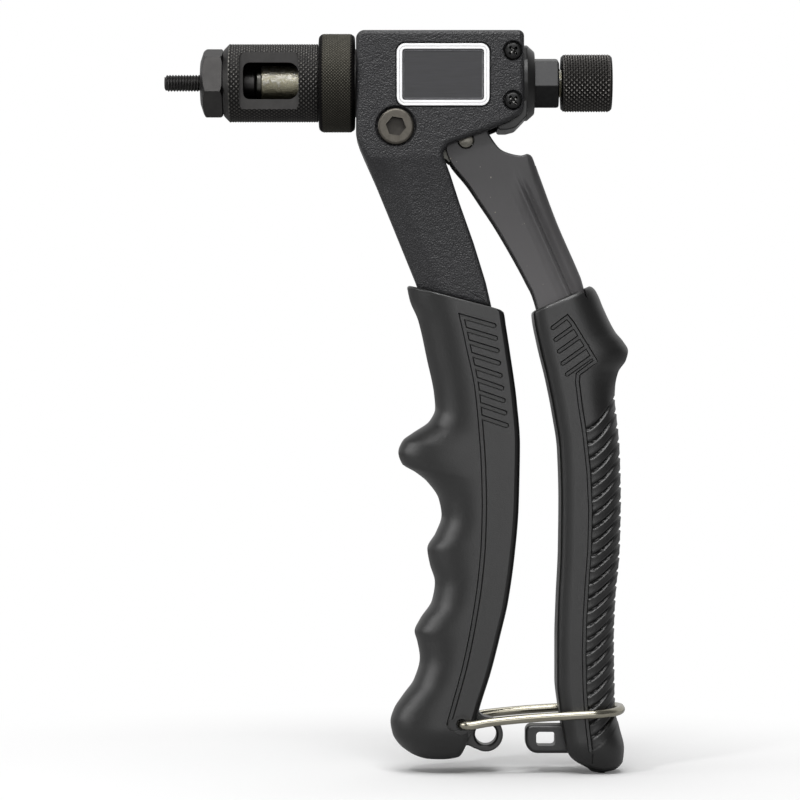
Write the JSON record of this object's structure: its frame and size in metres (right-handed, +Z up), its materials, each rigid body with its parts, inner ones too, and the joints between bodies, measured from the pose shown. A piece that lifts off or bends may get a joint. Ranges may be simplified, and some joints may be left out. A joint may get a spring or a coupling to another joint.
{
  "type": "hand riveter",
  "caption": "One-hand setting tool for threaded rivet nuts: cast head, knurled nose with window, hexagon anvil, knurled knob, two moulded grips and a wire bail that latches them.",
  "frame": {"origin": "on the ground plane under the centre of the outer box, tool upright with the handles down", "axes": "+Z up along the handles, -X towards the anvil, +X towards the knob, Y across the thickness; the badge side is -Y"},
  "size_m": [0.1594, 0.0346, 0.2544],
  "materials": {
    "casting": "satin textured charcoal",
    "grip": "matt black moulding",
    "cap_plastic": "matt black moulding",
    "lever_paint": "satin dark grey",
    "black_oxide": "black oxide, oiled",
    "bright_steel": "bright zinc plated",
    "zinc_steel": "dull black-zinc plated",
    "bolt_steel": "worn grey-brown",
    "nickel": "nickel plated wire",
    "badge": "printed dark field with a silver rim"
  },
  "bodies": {
    "frame": {"body_casting": "casting", "fixed_grip": "grip", "rear_cap": "cap_plastic", "cap_screw_1": "zinc_steel", "cap_screw_2": "zinc_steel", "cap_screw_3": "zinc_steel", "cap_screw_4": "zinc_steel", "pivot_bolt": "bolt_steel", "pivot_nut": "bolt_steel", "link_plate_left": "bright_steel", "link_plate_right": "bright_steel", "link_spacer": "bright_steel", "badge_plate": "badge", "return_spring": "bright_steel"},
    "lever": {"lever_arm": "lever_paint", "lever_grip": "grip", "lever_pin": "bright_steel"},
    "draw_sleeve_body": {"draw_sleeve": "bright_steel", "trunnion_roller_left": "bright_steel", "trunnion_roller_right": "bright_steel", "draw_collar": "bright_steel"},
    "spindle_body": {"spindle": "bright_steel", "knob": "black_oxide", "knob_grub_screw": "black_oxide", "mandrel": "black_oxide", "mandrel_retainer": "black_oxide"},
    "nose": {"nose_sleeve": "black_oxide", "anvil": "black_oxide"},
    "lock_ring_body": {"lock_ring": "black_oxide"},
    "bail_body": {"bail": "nickel"}
  },
  "joints": [
    {"name": "lever_hinge", "type": "hinge", "parent": "frame", "child": "lever", "pos_m": [0.0239, 0, 0.2169], "axis": [0, -1, 0], "range_deg": [-2, 20], "deforming": ["bail"]},
    {"name": "draw_slide", "type": "slide", "parent": "frame", "child": "draw_sleeve_body", "axis": [1, 0, 0], "range_m": [-0.0075, 0.0009], "deforming": ["return_spring"]},
    {"name": "spindle_turn", "type": "hinge", "parent": "draw_sleeve_body", "child": "spindle_body", "pos_m": [-0.0136, 0, 0.2374], "axis": [1, 0, 0], "continuous": true},
    {"name": "nose_turn", "type": "hinge", "parent": "frame", "child": "nose", "pos_m": [-0.0136, 0, 0.2374], "axis": [1, 0, 0], "continuous": true},
    {"name": "lock_ring_turn", "type": "hinge", "parent": "frame", "child": "lock_ring_body", "pos_m": [-0.0136, 0, 0.2374], "axis": [1, 0, 0], "continuous": true},
    {"name": "bail_swing", "type": "hinge", "parent": "frame", "child": "bail_body", "pos_m": [0.0224, 0, 0.0175], "axis": [0, 1, 0], "range_deg": [0, 235]}
  ],
  "couplings": [
    {"joint": "draw_slide", "follows": "lever_hinge", "m_per_rad": -0.0207}
  ]
}
